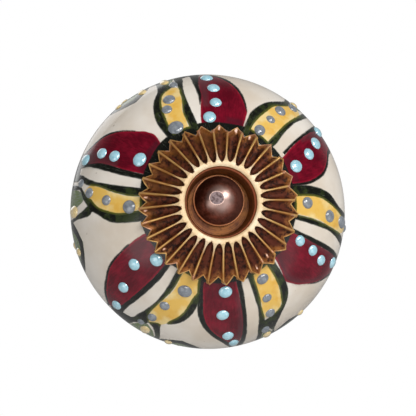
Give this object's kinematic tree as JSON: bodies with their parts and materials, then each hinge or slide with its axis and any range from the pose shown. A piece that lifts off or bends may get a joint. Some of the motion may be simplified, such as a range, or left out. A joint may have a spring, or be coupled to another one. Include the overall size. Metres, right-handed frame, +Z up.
{
  "type": "cabinet knob",
  "caption": "Round hand-painted ceramic cabinet knob with petal motifs, a fluted metal rosette and a domed screw head, fixed from behind by a threaded stud, washer and nut.",
  "frame": {"origin": "centre of the back plate's rim, on the drawer's face and on the screw's axis", "axes": "+Y runs back along the screw into the drawer, the knob's face looks along -Y, +Z is up as the knob hangs on a drawer front"},
  "size_m": [0.04, 0.0744, 0.04],
  "materials": {
    "painted_glaze": "glossy cream glaze with hand-painted petals in burgundy, yellow and olive black, and raised enamel dots",
    "antique_copper": "antique copper plate, dark in the flutes and worn bright on the ridges",
    "aged_copper": "satin aged copper",
    "aged_brass": "satin antique copper plate",
    "zinc_steel": "zinc plated"
  },
  "bodies": {
    "root": {"ceramic_knob": "painted_glaze", "front_rosette": "antique_copper", "dome_screw": "aged_copper", "back_plate": "aged_brass", "lock_nut": "zinc_steel", "fixing_washer": "zinc_steel", "fixing_nut": "zinc_steel"}
  },
  "joints": []
}
